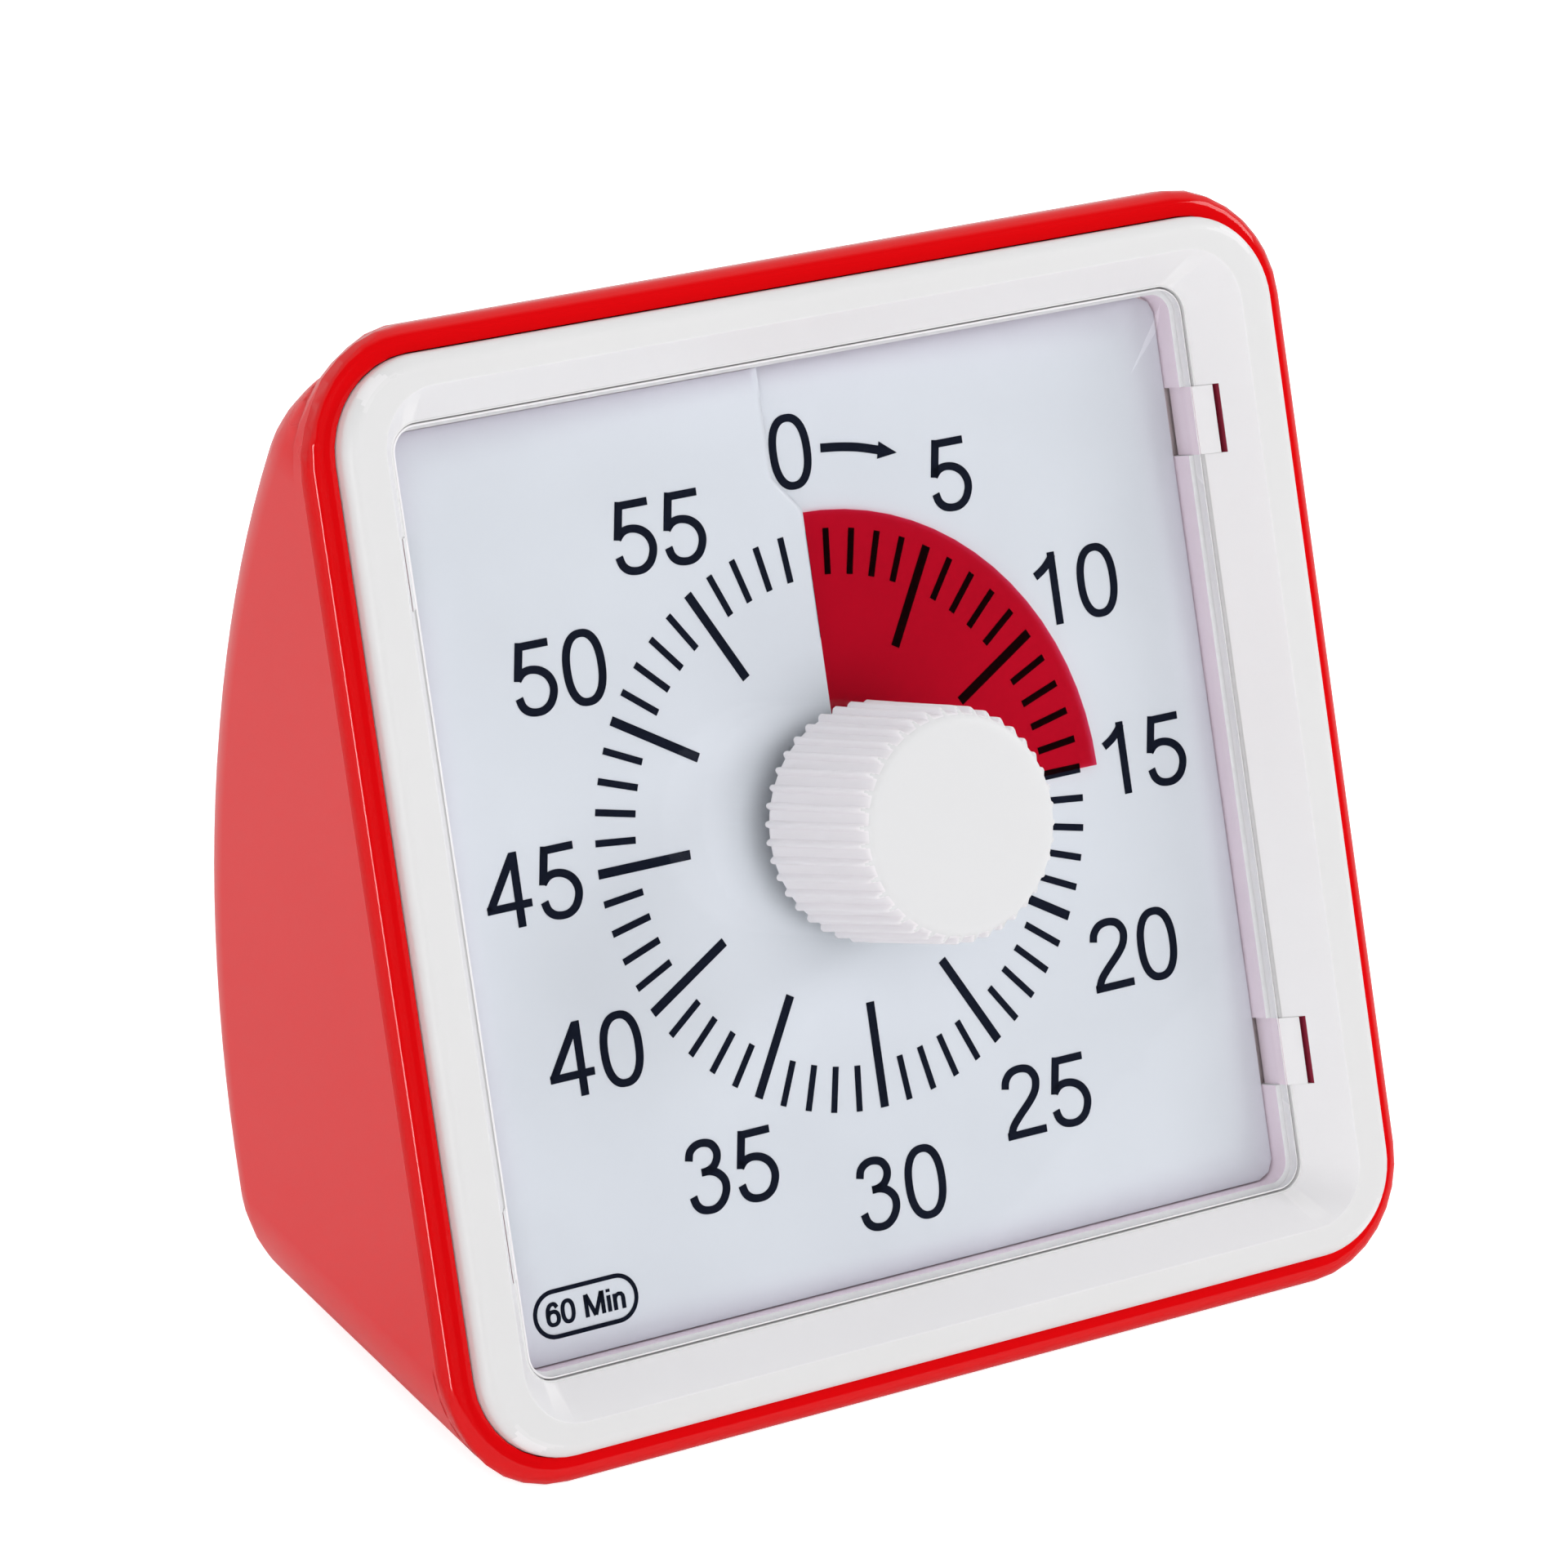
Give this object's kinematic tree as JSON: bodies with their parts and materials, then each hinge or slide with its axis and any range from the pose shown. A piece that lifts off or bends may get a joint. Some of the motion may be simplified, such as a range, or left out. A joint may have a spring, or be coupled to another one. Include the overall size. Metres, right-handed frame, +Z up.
{
  "type": "visual countdown timer",
  "caption": "Square free-standing countdown timer: a ribbed knob winds a red film over a clock-like dial behind a clear lens; curved back holds the movement and cell.",
  "frame": {"origin": "centre of the bounding box's bottom face, on the surface the timer stands on", "axes": "+Z up; the dial looks towards -Y and leans back; +X to the right as a viewer facing the dial sees it"},
  "size_m": [0.085, 0.0448, 0.0756],
  "materials": {
    "red_shell": "satin moulded ABS",
    "white_bezel": "satin moulded ABS",
    "clear_lens": "clear polycarbonate",
    "dial_print": "printed sheet",
    "backing": "moulded",
    "red_film": "clear tinted film",
    "white_hub": "moulded",
    "white_knob": "satin moulded ABS",
    "steel": "turned",
    "case_grey": "moulded",
    "gear_plastic": "moulded acetal",
    "spring_brass": "rolled",
    "magnet": "bonded ferrite",
    "stator_steel": "stamped",
    "coil_copper": "enamelled wire",
    "screw_steel": "zinc plated",
    "board_green": "solder mask",
    "chip_black": "moulded",
    "sounder_black": "moulded",
    "switch_metal": "stamped",
    "slider_black": "moulded",
    "cell_can": "plain wrapped can",
    "contact_steel": "nickel plated",
    "lead_red": "insulated wire",
    "lead_black": "insulated wire",
    "lead_blue": "insulated wire"
  },
  "bodies": {
    "housing": {"rear_housing": "red_shell", "front_bezel": "white_bezel", "lens": "clear_lens", "dial_sheet": "dial_print", "backing_plate": "backing", "movement_front": "case_grey", "movement_rear": "case_grey", "contact_leaf": "spring_brass", "motor_stator": "stator_steel", "motor_coil": "coil_copper", "movement_screws": "screw_steel", "plate_screws": "screw_steel", "housing_screws": "screw_steel", "circuit_board": "board_green", "board_chips": "chip_black", "board_screws": "screw_steel", "sounder": "sounder_black", "switch_body": "switch_metal", "battery_cell": "cell_can", "battery_spring": "contact_steel", "battery_plate": "contact_steel", "lead_positive": "lead_red", "lead_negative": "lead_black", "motor_leads": "lead_blue"},
    "knob": {"knob": "white_knob", "setting_spindle": "steel", "output_wheel": "gear_plastic", "clutch_spring": "spring_brass", "alarm_cam": "gear_plastic"},
    "film": {"red_film": "red_film", "film_hub": "white_hub"},
    "third_wheel": {"third_wheel": "gear_plastic"},
    "second_wheel": {"second_wheel": "gear_plastic"},
    "motor_rotor": {"motor_rotor": "magnet"},
    "volume_slider": {"volume_slider": "slider_black"},
    "battery_door": {"battery_door": "red_shell"}
  },
  "joints": [
    {"name": "set_knob", "type": "hinge", "parent": "housing", "child": "knob", "pos_m": [0, -0.00018, 0.03642], "axis": [0, 0.9033, -0.4289], "range_deg": [-90, 270]},
    {"name": "film_lift", "type": "slide", "parent": "knob", "child": "film", "axis": [0, -0.9033, 0.4289], "range_m": [-0.00021, 0.00061]},
    {"name": "third_wheel_turn", "type": "hinge", "parent": "housing", "child": "third_wheel", "pos_m": [-0.0097, 0.00222, 0.04148], "axis": [0, 0.9033, -0.4289], "continuous": true},
    {"name": "second_wheel_turn", "type": "hinge", "parent": "housing", "child": "second_wheel", "pos_m": [-0.00586, 0.00508, 0.04749], "axis": [0, 0.9033, -0.4289], "continuous": true},
    {"name": "rotor_turn", "type": "hinge", "parent": "housing", "child": "motor_rotor", "pos_m": [-0.00154, 0.00508, 0.04749], "axis": [0, 0.9033, -0.4289], "continuous": true},
    {"name": "volume_switch", "type": "slide", "parent": "housing", "child": "volume_slider", "axis": [1, 0, 0], "range_m": [-0.002, 0.002]},
    {"name": "battery_door_hinge", "type": "hinge", "parent": "housing", "child": "battery_door", "pos_m": [0, 0.01308, 0.00676], "axis": [-1, 0, 0], "range_deg": [0, 80]}
  ],
  "couplings": [
    {"joint": "film_lift", "follows": "set_knob", "m_per_rad": 0.00012732},
    {"joint": "third_wheel_turn", "follows": "set_knob", "ratio": -6},
    {"joint": "second_wheel_turn", "follows": "set_knob", "ratio": 30},
    {"joint": "rotor_turn", "follows": "set_knob", "ratio": -150}
  ]
}
